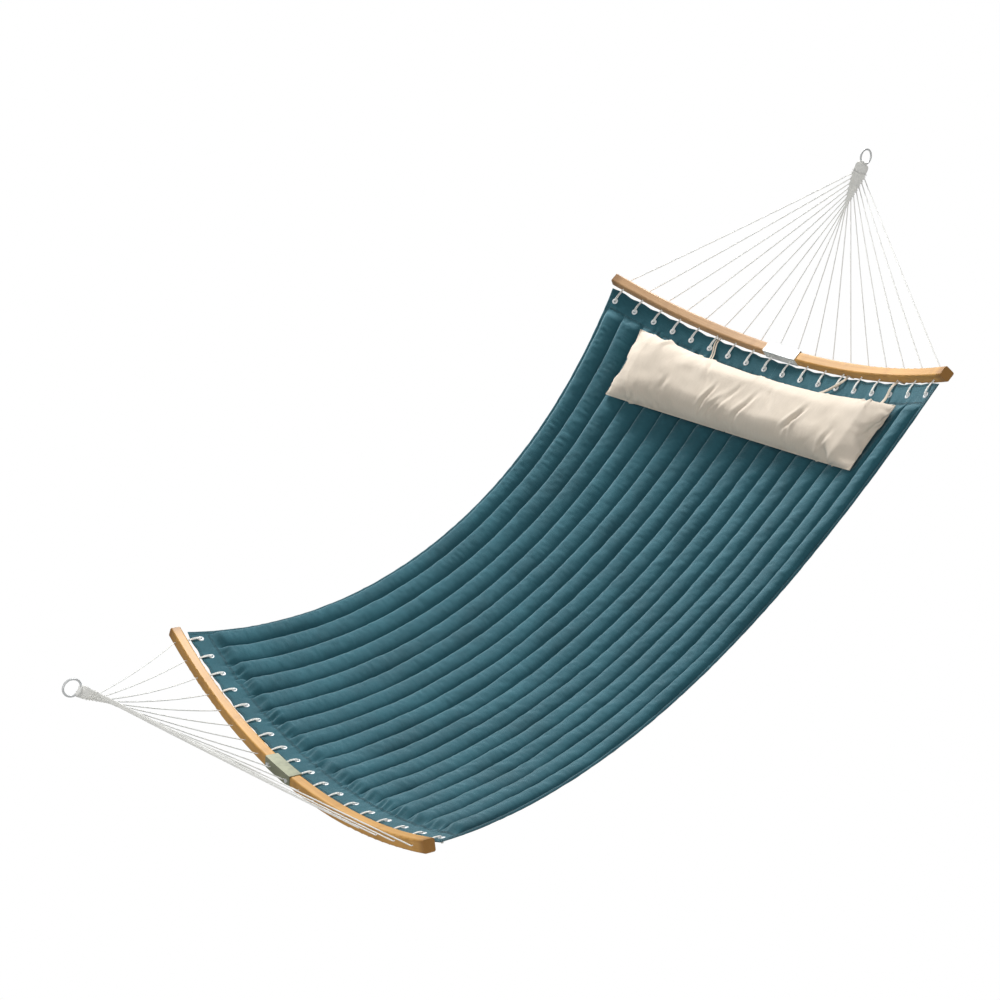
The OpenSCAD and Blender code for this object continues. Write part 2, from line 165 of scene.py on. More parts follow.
class End:
    """One end of the hammock: its bar's frame, its ring's frame and what hangs between them."""

    def __init__(self, name, turn, tilt, radius, lean, rope, rope_angle, clew_l):
        self.name, self.turn, self.radius, self.lean = name, turn, radius, lean
        self.rope, self.clew_l = rope, clew_l
        self.centre = np.array([HEAD_X, 0, HEAD_Z] if turn > 0 else [FOOT_X, 0, FOOT_Z])
        self.x_axis = np.array([turn * math.cos(tilt), 0, math.sin(tilt)])
        self.y_axis = np.array([0, turn, 0])
        self.z_axis = np.array([-turn * math.sin(tilt), 0, math.cos(tilt)])
        out = np.array([turn * math.cos(rope_angle), 0, math.sin(rope_angle)])
        self.ring = self.centre + rope * out
        self.down = -out
        self.flat = np.array([-turn * out[2], 0, turn * out[0]]) * -turn

    def place(self, p):
        """Point in the bar's frame: X out towards the ring, Z up in the plane of its curve."""
        p = np.asarray(p, float)
        x, y, z = p[..., 0:1], p[..., 1:2], p[..., 2:3]
        return self.centre + x * self.x_axis + y * self.y_axis + z * self.z_axis

    def column(self, y, p):
        """Point drawn in the frame of the eyelet column at local y: X out, Z off the bed."""
        p = np.asarray(p, float)
        x, side, z = p[..., 0], p[..., 1], p[..., 2]
        x2 = x * math.cos(self.lean) - z * math.sin(self.lean)
        z2 = x * math.sin(self.lean) + z * math.cos(self.lean)
        roll = math.asin(y / self.radius)
        y3 = side * math.cos(roll) - z2 * math.sin(roll) + y
        z3 = side * math.sin(roll) + z2 * math.cos(roll) + arc_rise(self.radius, y)
        return self.place(np.stack([x2, y3, z3], -1))

    def rope_point(self, p):
        """Point in the clew's frame: X down the rope, Y across, Z through the flat band."""
        p = np.asarray(p, float)
        x, y, z = p[..., 0:1], p[..., 1:2], p[..., 2:3]
        return self.ring + x * self.down + y * np.array([0, 1.0, 0]) + z * self.flat


HEAD = End("head", 1, HEAD_TILT, HEAD_R, HEAD_LEAN, HEAD_ROPE, HEAD_ROPE_ANGLE, HEAD_CLEW_L)
FOOT = End("foot", -1, FOOT_TILT, FOOT_R, FOOT_LEAN, FOOT_ROPE, FOOT_ROPE_ANGLE, FOOT_CLEW_L)


# ---- helpers
def smooth(t):
    """Eases from 0 to 1."""
    t = np.clip(t, 0, 1)
    return t * t * (3 - 2 * t)


def value_noise(x, y, seed):
    """Smooth noise from -1 to 1 over a seeded lattice."""
    lattice = np.random.default_rng(seed).uniform(-1, 1, (256, 256))
    x, y = np.broadcast_arrays(np.asarray(x, float), np.asarray(y, float))
    x0, y0 = np.floor(x).astype(int), np.floor(y).astype(int)
    fx, fy = smooth(x - x0), smooth(y - y0)
    a = lattice[x0 % 256, y0 % 256]
    b = lattice[(x0 + 1) % 256, y0 % 256]
    c = lattice[x0 % 256, (y0 + 1) % 256]
    d = lattice[(x0 + 1) % 256, (y0 + 1) % 256]
    return (a * (1 - fx) + b * fx) * (1 - fy) + (c * (1 - fx) + d * fx) * fy


class Shape:
    """Collects points and faces of one piece."""

    def __init__(self):
        self.points, self.faces, self.count = [], [], 0

    def add(self, points, faces):
        self.points.append(np.asarray(points, float).reshape(-1, 3))
        self.faces.extend([[int(corner) + self.count for corner in face] for face in faces])
        self.count += len(self.points[-1])

    def piece(self, name, material):
        return make_piece(name, np.concatenate(self.points), self.faces, material)


def make_piece(name, points, faces, material, uv=None):
    """Makes a smooth-shaded mesh object, with UVs in metres where they are given."""
    mesh = bpy.data.meshes.new(name)
    mesh.from_pydata(np.asarray(points).tolist(), [], faces)
    mesh.polygons.foreach_set("use_smooth", [True] * len(mesh.polygons))
    if uv is not None:
        corners = np.zeros(len(mesh.loops), int)
        mesh.loops.foreach_get("vertex_index", corners)
        layer = mesh.uv_layers.new(name="cloth")
        layer.data.foreach_set("uv", np.asarray(uv, np.float32)[corners].ravel())
    mesh.materials.append(material)
    mesh.update()
    piece = bpy.data.objects.new(name, mesh)
    scene.collection.objects.link(piece)
    return piece


def grid_faces(rows, columns, flip=False, wrap=False):
    """Quads over a grid of rows x columns points."""
    i, j = np.meshgrid(np.arange(rows - 1), np.arange(columns if wrap else columns - 1), indexing="ij")
    next_j = (j + 1) % columns
    quads = [i * columns + j, (i + 1) * columns + j, (i + 1) * columns + next_j, i * columns + next_j]
    quads = np.stack(quads, -1).reshape(-1, 4)
    return quads[:, ::-1] if flip else quads


def capped_faces(count, sides):
    """Faces of a tube of rings, closed at both ends."""
    faces = grid_faces(count, sides, flip=True, wrap=True).tolist()
    return faces + [list(range(sides)), [count * sides - 1 - j for j in range(sides)]]


def unit(vectors):
    """Vectors scaled to length one."""
    return vectors / np.linalg.norm(vectors, axis=1)[:, None]


def grid_border(index):
    """Points round the edge of a grid, in order."""
    return np.concatenate([index[0, :-1], index[:-1, -1], index[-1, :0:-1], index[:0:-1, 0]])


def tube(path, radius, sides=8, lobes=0, twist=0.0):
    """Points and faces of a rope along a path; lobes and twist give it laid strands."""
    path = np.asarray(path, float)
    count = len(path)
    along = unit(np.gradient(path, axis=0))
    lengths = np.concatenate([[0], np.cumsum(np.linalg.norm(np.diff(path, axis=0), axis=1))])
    side = np.cross(along[0], [0.31, 0.52, 0.79])
    normals = []
    for direction in along:
        side = side - direction * side.dot(direction)
        side = side / np.linalg.norm(side)
        normals.append(side)
    normals = np.array(normals)
    binormals = np.cross(along, normals)
    angle = np.linspace(0, math.tau, sides, endpoint=False)[None, :]
    shape = np.full((count, sides), 1.0)
    if lobes:
        turn = twist * lengths[:, None]
        shape = 0.8 + 0.2 * np.abs(np.cos((angle - turn) * lobes / 2))
    r = (np.asarray(radius) * np.ones(count))[:, None] * shape
    aside = (r * np.cos(angle))[..., None] * normals[:, None, :]
    points = path[:, None, :] + aside + (r * np.sin(angle))[..., None] * binormals[:, None, :]
    return points.reshape(-1, 3), capped_faces(count, sides)


def add_tube(shape, *args, **options):
    """Adds a tube to a shape."""
    shape.add(*tube(*args, **options))


def curve_through(controls, steps):
    """Even points on a smooth curve through the controls."""
    controls = np.asarray(controls, float)
    padded = np.vstack([2 * controls[0] - controls[1], controls, 2 * controls[-1] - controls[-2]])
    points = []
    for i in range(1, len(padded) - 2):
        p0, p1, p2, p3 = padded[i - 1 : i + 3]
        for t in np.linspace(0, 1, steps, endpoint=False):
            a = 2 * p1 + (p2 - p0) * t
            b = (2 * p0 - 5 * p1 + 4 * p2 - p3) * t**2
            c = (3 * p1 - p0 - 3 * p2 + p3) * t**3
            points.append((a + b + c) / 2)
    points.append(controls[-1])
    return np.array(points)


# ---- materials
def linear(r, g, b):
    """Scene colour of an sRGB colour given in steps of 0 to 255."""
    def one(c):
        c /= 255
        return c / 12.92 if c <= 0.04045 else ((c + 0.055) / 1.055) ** 2.4

    return (one(r), one(g), one(b), 1.0)


class Finish:
    """Small helper that wires a node material."""

    def __init__(self, name):
        self.material = bpy.data.materials.new(name)
        self.material.use_nodes = True
        self.tree = self.material.node_tree
        self.shader = self.tree.nodes["Principled BSDF"]

    def node(self, kind, values=None, links=None, **properties):
        node = self.tree.nodes.new(kind)
        for key, value in properties.items():
            setattr(node, key, value)
        for key, value in (values or {}).items():
            node.inputs[key].default_value = value
        for key, source in (links or {}).items():
            self.tree.links.new(source, node.inputs[key])
        return node

    def coordinates(self, kind="Object", scale=(1, 1, 1), source=None):
        if source is None:
            source = self.node("ShaderNodeTexCoord").outputs[kind]
        mapping = self.node("ShaderNodeMapping", {"Scale": scale}, {"Vector": source})
        return mapping.outputs["Vector"]

    def noise(self, vector, scale, detail=3.0, roughness=0.55):
        values = {"Scale": scale, "Detail": detail, "Roughness": roughness}
        return self.node("ShaderNodeTexNoise", values, {"Vector": vector}).outputs["Fac"]

    def wave(self, vector, scale, direction="X", distortion=0.0):
        values = {"Scale": scale, "Distortion": distortion, "Detail": 1.0}
        node = self.node("ShaderNodeTexWave", values, {"Vector": vector}, bands_direction=direction)
        return node.outputs["Fac"]

    def math(self, operation, a, b):
        node = self.node("ShaderNodeMath", operation=operation)
        for socket, value in zip(node.inputs, (a, b)):
            if isinstance(value, (int, float)):
                socket.default_value = value
            else:
                self.tree.links.new(value, socket)
        return node.outputs[0]

    def ramp(self, fac, stops):
        node = self.node("ShaderNodeValToRGB", None, {"Fac": fac})
        elements = node.color_ramp.elements
        while len(elements) < len(stops):
            elements.new(0.5)
        for element, (position, color) in zip(elements, stops):
            element.position = position
            element.color = color
        return node.outputs["Color"]

    def mix(self, fac, a, b, blend="MIX"):
        node = self.node("ShaderNodeMix", data_type="RGBA", blend_type=blend)
        for index, value in ((0, fac), (6, a), (7, b)):
            if isinstance(value, (int, float, tuple)):
                node.inputs[index].default_value = value
            else:
                self.tree.links.new(value, node.inputs[index])
        return node.outputs[2]

    def color(self, source):
        self.tree.links.new(source, self.shader.inputs["Base Color"])

    def roughness(self, fac, low, high):
        values = {"To Min": low, "To Max": high}
        node = self.node("ShaderNodeMapRange", values, {"Value": fac})
        self.tree.links.new(node.outputs[0], self.shader.inputs["Roughness"])

    def bump(self, height, distance, strength=1.0):
        values = {"Strength": strength, "Distance": distance}
        node = self.node("ShaderNodeBump", values, {"Height": height})
        self.tree.links.new(node.outputs[0], self.shader.inputs["Normal"])

    def set(self, **values):
        for key, value in values.items():
            self.shader.inputs[key.replace("_", " ")].default_value = value


def woven_cloth(name, dark, base, pale, thread, sheen, sheen_tint):
    """Plain weave by UV in metres, with slubs, faded patches and soft sheen."""
    finish = Finish(name)
    cloth = finish.coordinates("UV")
    wave_scale = 0.314 / thread
    warp = finish.wave(cloth, wave_scale, "X", 0.25)
    weft = finish.wave(cloth, wave_scale, "Y", 0.25)
    weave = finish.math("MAXIMUM", warp, weft)
    slub = finish.noise(finish.coordinates("UV", (40, 400, 1)), 1.0, 4.0)
    patches = finish.noise(cloth, 5.0, 5.0, 0.6)
    shade = finish.ramp(patches, [(0.25, dark), (0.5, base), (0.8, pale)])
    shade = finish.mix(0.35, shade, finish.ramp(slub, [(0.3, dark), (0.7, pale)]))
    shade = finish.mix(0.3, shade, finish.ramp(weave, [(0.0, dark), (1.0, pale)]))
    finish.color(shade)
    finish.roughness(patches, 0.78, 0.95)
    height = finish.math("ADD", finish.math("MULTIPLY", weave, 0.5), slub)
    finish.bump(height, thread * 0.4, 0.6)
    finish.set(Sheen_Weight=sheen, Sheen_Roughness=0.4, Sheen_Tint=sheen_tint, Specular_IOR_Level=0.25)
    return finish.material


def laid_cord(name, dark, pale):
    """Twisted fibre cord: fine hairs, dirt between strands."""
    finish = Finish(name)
    place = finish.coordinates("Object")
    fibres = finish.noise(place, 900.0, 3.0)
    grime = finish.noise(place, 14.0, 4.0)
    shade = finish.ramp(fibres, [(0.25, dark), (0.65, pale)])
    shade = finish.mix(0.35, shade, finish.ramp(grime, [(0.35, dark), (0.7, pale)]))
    finish.color(shade)
    finish.roughness(grime, 0.7, 0.9)
    finish.bump(fibres, 0.0006, 0.7)
    finish.set(Sheen_Weight=0.25, Sheen_Roughness=0.5, Specular_IOR_Level=0.3)
    return finish.material


def worn_metal(name, dark, base, pale, low, high, metallic):
    """Plated or enamelled metal with fine brushing, smudges and small scratches."""
    finish = Finish(name)
    place = finish.coordinates("Object")
    smudge = finish.noise(place, 25.0, 5.0)
    brushed = finish.noise(finish.coordinates("Object", (600, 60, 600)), 1.0, 3.0)
    scratch = finish.noise(finish.coordinates("Object", (900, 90, 500)), 1.0, 6.0, 0.7)
    shade = finish.ramp(smudge, [(0.3, dark), (0.5, base), (0.75, pale)])
    shade = finish.mix(0.2, shade, finish.ramp(scratch, [(0.42, dark), (0.6, pale)]))
    finish.color(shade)
    finish.roughness(smudge, low, high)
    finish.bump(finish.math("ADD", brushed, scratch), 0.00015, 0.5)
    finish.set(Metallic=metallic)
    return finish.material


def bamboo(name, end, dark, base, pale):
    """Laminated bamboo whose strips and grain follow the bar's curve, darker at its ends."""
    finish = Finish(name)
    place = finish.node("ShaderNodeTexCoord").outputs["Object"]
    centre = end.centre + end.radius * end.z_axis
    offset = finish.node("ShaderNodeVectorMath", {1: tuple(centre)}, {0: place}, operation="SUBTRACT")

    def along(axis):
        links = {0: offset.outputs[0]}
        node = finish.node("ShaderNodeVectorMath", {1: tuple(axis)}, links, operation="DOT_PRODUCT")
        return node.outputs["Value"]

    across = along(end.x_axis)
    sideways = along(end.y_axis)
    height = along(-end.z_axis)
    squares = [finish.math("MULTIPLY", value, value) for value in (sideways, height)]
    radius = finish.math("SQRT", finish.math("ADD", *squares), 0.0)
    arc = finish.math("MULTIPLY", finish.math("ARCTAN2", sideways, height), end.radius)
    place = finish.node("ShaderNodeCombineXYZ", None, {0: across, 1: arc, 2: radius}).outputs[0]
    fibre = finish.noise(finish.coordinates(scale=(700, 9, 700), source=place), 1.0, 4.0, 0.6)
    strips = finish.noise(finish.coordinates(scale=(130, 0.8, 130), source=place), 1.0, 1.0)
    node_rings = finish.wave(finish.coordinates(source=place), 1.6, "Y", 3.0)
    blotch = finish.noise(finish.coordinates(scale=(8, 3, 8), source=place), 1.0, 4.0)
    shade = finish.ramp(strips, [(0.3, base), (0.7, pale)])
    shade = finish.mix(0.45, shade, finish.ramp(fibre, [(0.3, dark), (0.55, base), (0.75, pale)]))
    shade = finish.mix(0.3, shade, finish.ramp(blotch, [(0.35, dark), (0.65, base)]))
    knots = finish.ramp(node_rings, [(0.96, (0, 0, 0, 1)), (1.0, (0.16, 0.16, 0.16, 1))])
    shade = finish.mix(knots, shade, dark)
    reach = finish.math("ABSOLUTE", arc, 0.0)
    reach = finish.math("MULTIPLY", reach, 1 / 0.72)
    burnt = finish.ramp(reach, [(0.955, (0, 0, 0, 1)), (0.99, (0.75, 0.75, 0.75, 1))])
    shade = finish.mix(burnt, shade, dark)
    finish.color(shade)
    finish.roughness(fibre, 0.42, 0.62)
    finish.bump(fibre, 0.0003, 0.5)
    finish.set(Coat_Weight=0.08, Coat_Roughness=0.4, Specular_IOR_Level=0.35)
    return finish.material


BED_CLOTH = woven_cloth(
    "quilted_teal_cloth", linear(18, 56, 66), linear(33, 81, 93), linear(54, 106, 118),
    0.0016, 0.5, (0.62, 0.9, 1.0, 1.0),
)
BED_THREAD = laid_cord("teal_sewing_thread", linear(16, 36, 42), linear(42, 76, 84))
PILLOW_CLOTH = woven_cloth(
    "beige_pillow_cloth", linear(194, 181, 164), linear(213, 200, 183), linear(224, 213, 198),
    0.0012, 0.2, (1.0, 0.97, 0.92, 1.0),
)
PILLOW_THREAD = laid_cord("beige_sewing_thread", linear(176, 162, 143), linear(214, 202, 184))
CORD = laid_cord("off_white_cord", linear(226, 225, 218), linear(252, 252, 249))
ENAMEL = worn_metal(
    "white_enamel", linear(214, 218, 220), linear(238, 240, 241), linear(250, 250, 250), 0.22, 0.4, 0.0
)
ZINC = worn_metal(
    "zinc_plate", linear(186, 188, 188), linear(214, 216, 216), linear(234, 236, 236), 0.28, 0.45, 0.2
)
SLEEVE_METAL = {
    "head": worn_metal(
        "pale_sleeve_steel", linear(196, 198, 194), linear(226, 228, 226), linear(242, 243, 242),
        0.3, 0.45, 0.35),
    "foot": worn_metal(
        "olive_sleeve_steel", linear(112, 115, 95), linear(134, 137, 112), linear(152, 154, 130),
        0.4, 0.55, 0.2),
}
BAMBOO = {
    (end.name, side_name): bamboo(
        f"bamboo_{end.name}_{side_name}", end,
        linear(140, 96, 44), linear(204, 152, 78), linear(220, 174, 102))
    for end in (HEAD, FOOT) for side_name in SIDES
}
BAMBOO["head", "far"] = bamboo(
    "tan_bamboo", HEAD, linear(138, 100, 62), linear(192, 150, 104), linear(206, 168, 124))


# ---- camera and light
def add_camera():
    """Camera without roll at the angle of the reference view."""
    data = bpy.data.cameras.new("view")
    data.lens = CAMERA_LENS
    data.sensor_width = 36
    data.clip_end = 200
    camera = bpy.data.objects.new("view", data)
    camera.location = CAMERA_AT
    camera.rotation_euler = Vector(CAMERA_LOOK).to_track_quat("-Z", "Y").to_euler()
    scene.collection.objects.link(camera)
    scene.camera = camera


def add_area_light(name, direction, distance, size, energy):
    """Square soft light that looks at the middle of the object."""
    middle = Vector(MIDDLE)
    data = bpy.data.lights.new(name, "AREA")
    data.size = size
    data.energy = energy
    light = bpy.data.objects.new(name, data)
    light.location = middle + Vector(direction).normalized() * distance
    light.rotation_euler = (middle - light.location).to_track_quat("-Z", "Y").to_euler()
    scene.collection.objects.link(light)


def camera_only(piece):
    """The pale surroundings are seen by the camera but don't light the object."""
    for ray in ("diffuse", "glossy", "transmission", "shadow"):
        setattr(piece, f"visible_{ray}", False)


def add_stage():
    """Pale floor and backdrop, even surrounding light, and two soft lights."""
    pale = bpy.data.materials.new("pale_studio")
    pale.use_nodes = True
    nodes = pale.node_tree.nodes
    nodes.clear()
    glow = nodes.new("ShaderNodeEmission")
    glow.inputs["Color"].default_value = (1, 1, 1, 1)
    output = nodes.new("ShaderNodeOutputMaterial")
    pale.node_tree.links.new(glow.outputs[0], output.inputs["Surface"])
    bpy.ops.mesh.primitive_uv_sphere_add(segments=48, ring_count=24, radius=40, location=MIDDLE)
    dome = bpy.context.object
    dome.name = "studio_dome"
    bpy.ops.mesh.primitive_plane_add(size=60, location=(MIDDLE[0], MIDDLE[1], FLOOR_Z))
    floor = bpy.context.object
    floor.name = "studio_floor"
    for piece in (dome, floor):
        piece.data.materials.append(pale)
        camera_only(piece)
    world = bpy.data.worlds.new("studio_air")
    world.use_nodes = True
    background = world.node_tree.nodes["Background"]
    background.inputs["Color"].default_value = (1, 1, 1, 1)
    background.inputs["Strength"].default_value = WORLD_STRENGTH
    scene.world = world
    add_area_light("key", (0.42, 0.62, 0.80), 4.5, 1.3, 325)
    add_area_light("front", (-0.75, -0.6, 0.30), 5.0, 3.5, 90)
    scene.view_settings.view_transform = "Standard"


# ---- cords
def leave_x(k, end):
    """Distance down the clew at which the cord of column k leaves it."""
    share = (CHANNELS / 2 - 1 - k) / (CHANNELS / 2 - 1)
    return CLEW_WIDE_AT + 0.006 + (end.clew_l - CLEW_WIDE_AT - 0.006) * share


def turn_band(end, points):
    """Turns points of a clew's flat band about the rope, the more the nearer they are to the ring."""
    x, y, z = np.asarray(points, dtype=float).T
    share = np.clip((end.clew_l - x) / (end.clew_l - CLEW_WIDE_AT), 0, 1)
    turn = BAND_TURN * smooth(share)
    return np.stack([x, y * np.cos(turn) + z * np.sin(turn), z * np.cos(turn) - y * np.sin(turn)], -1)


def suspension_cords(end):
    """Eighteen taut cords, each from its place on the clew into its hole in the bar."""
    steps = 170
    for side_name, side in SIDES.items():
        for k in range(CHANNELS // 2):
            leave = turn_band(end, [[leave_x(k, end), side * (k + 0.5) * STRAND_PITCH, 0]])
            start = end.rope_point(leave[0])
            face = SLEEVE_OUT if k == 0 else BAR / 2
            y = side * end.turn * column_y(k)
            hole = np.array([face, y, arc_rise(end.radius, y)])
            finish, lead = (end.place(hole + [off, 0, 0]) for off in (-0.004, 0.004))
            t = np.linspace(0, 1, steps)[:, None]
            sag = 0.009 if end is FOOT and side == FAR else 0.003
            spread = 1 + 0.25 * value_noise(k * 1.7, side * 3.1, 11)
            path = start + (lead - start) * t
            path[:, 2] -= (4 * t * (1 - t))[:, 0] * sag * float(spread)
            path = np.vstack([path, finish])
            name = f"{end.name}_cord_{side_name}_{k + 1}"
            points, faces = tube(path, CORD_D / 2, sides=9, lobes=3, twist=math.tau / CORD_LAY)
            piece = make_piece(name, points, faces, CORD)
            group = "centre" if k == 0 else side_name
            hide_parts(f"{end.name}_cords_{group}")
            if k == 0:
                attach(piece, "hammock")
            else:
                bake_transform(piece)


def clew(end):
    """Flat plaited band: strands run round the ring and weave with cross strands below it."""
    shape = Shape()
    half = CHANNELS // 2
    for k in range(half):
        legs = []
        for side in (1, -1):
            x = np.linspace(leave_x(k, end) + 0.003, CLEW_WIDE_AT - 0.004, 60)
            z = 0.0014 * np.cos(math.pi * x / WEAVE_STEP + math.pi * k)
            y = side * (k + 0.5) * STRAND_PITCH * np.ones_like(x)
            legs.append(turn_band(end, np.stack([x, y, z], -1)))
        for side, leg in zip((1, -1), legs):
            turn = -side * (k + 0.5) * WRAP_SPREAD / RING_R
            outward = np.array([math.cos(turn), 0, math.sin(turn)])
            wire = RING_R * outward
            wraps = [wire + WRAP_R * (math.cos(b) * outward + math.sin(b) * np.array([0, 1, 0]))
                     for b in np.radians(np.linspace(60, 330, 8))]
            neck = wire + 0.011 * outward + np.array([0, side * (k + 0.5) * STRAND_PITCH * 0.5, 0])
            tuck = leg[-3] + np.array([0, 0, -0.0018])
            middle = curve_through([leg[-2], leg[-1], neck, *wraps, neck - 0.001 * outward, tuck], 5)
            path = np.vstack([leg[:-2], middle])
            strand = end.rope_point(path)
            add_tube(shape, strand, STRAND_R, sides=8, lobes=3, twist=math.tau / STRAND_LAY)
    for row in range(int((end.clew_l - CLEW_WIDE_AT) / WEAVE_STEP) + 1):
        x = CLEW_WIDE_AT + (row - 0.5) * WEAVE_STEP
        share = max(0.0, (x - CLEW_WIDE_AT) / (end.clew_l - CLEW_WIDE_AT))
        reach = half * STRAND_PITCH * (1 - share) + 0.003
        y = np.linspace(-reach, reach, 40)
        phase = np.pi * (np.abs(y) / STRAND_PITCH - 0.5) + math.pi * row
        path = turn_band(end, np.stack([np.full_like(y, x), y, -0.0017 * np.cos(phase)], -1))
        add_tube(shape, end.rope_point(path), CROSS_STRAND_R, sides=8)
    piece = shape.piece(f"{end.name}_clew_plait", CORD)
    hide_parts(f"{end.name}_clew")
    band, wraps = end.rope_point([CLEW_WIDE_AT, 0, 0]), end.rope_point([RING_R + 0.008, 0, 0])
    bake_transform(piece)


# ---- loops and eyelets
def groups(end):
    """Column groups of one end: name, body, and local y of each column."""
    for side_name, side in SIDES.items():
        ys = [side * end.turn * column_y(k) for k in range(1, CHANNELS // 2)]
        yield side_name, f"{end.name}_bar_{side_name}", ys
    yield "centre", "hammock", [-column_y(0), column_y(0)]


def eyelet_profile():
    """Grommet section: rolled outer rim, flat flange and a barrel through the cloth."""
    r0, r1, h = EYELET_HOLE_R, EYELET_R, EYELET_H / 2
    upper = [(r0, 0.0), (r0 + 0.0002, h * 0.7), (r0 + 0.0009, h), (r0 + 0.0022, h * 0.92),
             (r1 - 0.0012, h * 0.78), (r1 - 0.0003, h * 0.62), (r1, h * 0.4), (r1 - 0.0004, 0.0004)]
    lower = [(r, -z) for r, z in upper[::-1]]
    return upper + lower[:-1]


def eyelets(end):
    """Grommets of one end, turned from their section."""
    r, z = np.array(eyelet_profile()).T
    segments = 40
    angle = np.linspace(0, math.tau, segments, endpoint=False)
    for group, body, ys in groups(end):
        shape = Shape()
        for y in ys:
            x = np.outer(np.cos(angle), r) - EYELET_AT
            points = end.column(y, np.stack([x, np.outer(np.sin(angle), r), np.broadcast_to(z, x.shape)], -1))
            rows, columns = segments, len(r)
            i, j = np.meshgrid(np.arange(rows), np.arange(columns), indexing="ij")
            i2, j2 = (i + 1) % rows, (j + 1) % columns
            quads = [i * columns + j, i * columns + j2, i2 * columns + j2, i2 * columns + j]
            quads = np.stack(quads, -1).reshape(-1, 4)
            shape.add(points, quads if end is HEAD else quads[:, ::-1])
        piece = shape.piece(f"{end.name}_grommets_{group}", ENAMEL)
        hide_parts(f"{end.name}_eyelets_{group}")
        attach(piece, body)


def loops(end):
    """Doubled cord from each bar hole, over the cloth's edge and down through its eyelet."""
    steps = 9
    for group, body, ys in groups(end):
        shape = Shape()
        face = SLEEVE_OUT if group == "centre" else BAR / 2
        for number, y in enumerate(ys):
            lay = 0.0007 * float(value_noise(y * 31, number, 21))
            for strand in (-1, 1):
                gap = 0.0016 * strand
                controls = [
                    [-face + 0.003, gap * 0.7, 0.0],
                    [-face - 0.006, gap, 0.0015],
                    [-0.040, gap * 1.3 + lay, 0.0058],
                    [-0.052, gap * 1.5 + lay, 0.0066],
                    [-0.0605, gap * 1.3, 0.0058],
                    [-0.0638, gap, 0.0025],
                    [-0.0640, gap * 0.9, -0.0035],
                    [-0.0638, gap, -0.0065],
                ]
                path = end.column(y, curve_through(controls, steps))
                add_tube(shape, path, LOOP_STRAND_R, sides=9, lobes=3, twist=math.tau / LOOP_LAY)
            turn = np.linspace(0, math.tau * 2.4, 60)
            knot = np.stack([
                -EYELET_AT + 0.0021 * np.cos(turn),
                0.0021 * np.sin(turn),
                -0.0085 + 0.0016 * np.sin(turn * 1.5 + 0.6)], -1)
            knot = end.column(y, knot)
            add_tube(shape, knot, KNOT_STRAND_R, sides=8, lobes=3, twist=math.tau / LOOP_LAY)
        piece = shape.piece(f"{end.name}_lacing_{group}", CORD)
        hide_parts(f"{end.name}_loops_{group}")
        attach(piece, body)


# ---- quilted bed
VALLEY = 0.0004
CREST = 0.0215
CREST_UNDER = 0.0125
HEM_LIFT = 0.0014
SIDE_HEM_LIFT = 0.0030
EDGE_SLACK = 0.0035
# Puckers just inside the end hems: their place, their reach and their height at each end
GATHER_AT = 0.104
GATHER_REACH = 0.022
GATHER = {"head": 0.0038, "foot": 0.0052}
BED_EDGE = 1 - SIDE_HEM / HALF_WIDTH
STITCH_LENGTH = 0.0042
STITCH_PITCH = 0.0060
HEM_STITCH_ROWS = [0.034, 0.0895, 0.094]
SIDE_STITCH_COLUMNS = [0.9855, 0.9945]


def hem_shift(d, a):
    """Cloth edge runs out to each eyelet and hangs back between them."""
    slack = 1 - np.sin(np.pi * a * CHANNELS / 2) ** 2
    return EDGE_SLACK * slack**1.5 * np.clip((HEM_TO - d) / (HEM_TO - HEM_FROM), 0, 1) ** 2


def lower_pull(u):
    """How far the pillow's lower edge is drawn in, for u from -1 at its near end to 1 at its far end."""
    return 0.046 - 0.015 * u - 0.037 * u**2


def pillow_press(s, v):
    """How far the tubes are pressed down under the pillow, from 0 to 1."""
    lower = PILLOW_FROM + PILLOW_WIDTH - lower_pull((v - PILLOW_SHIFT) / PILLOW_HALF)
    inside_s = smooth((s - PILLOW_FROM + 0.005) / 0.03) * smooth((lower + 0.005 - s) / 0.03)
    inside_v = smooth((PILLOW_HALF - np.abs(v - PILLOW_SHIFT)) / 0.04 + 0.5)
    return inside_s * inside_v


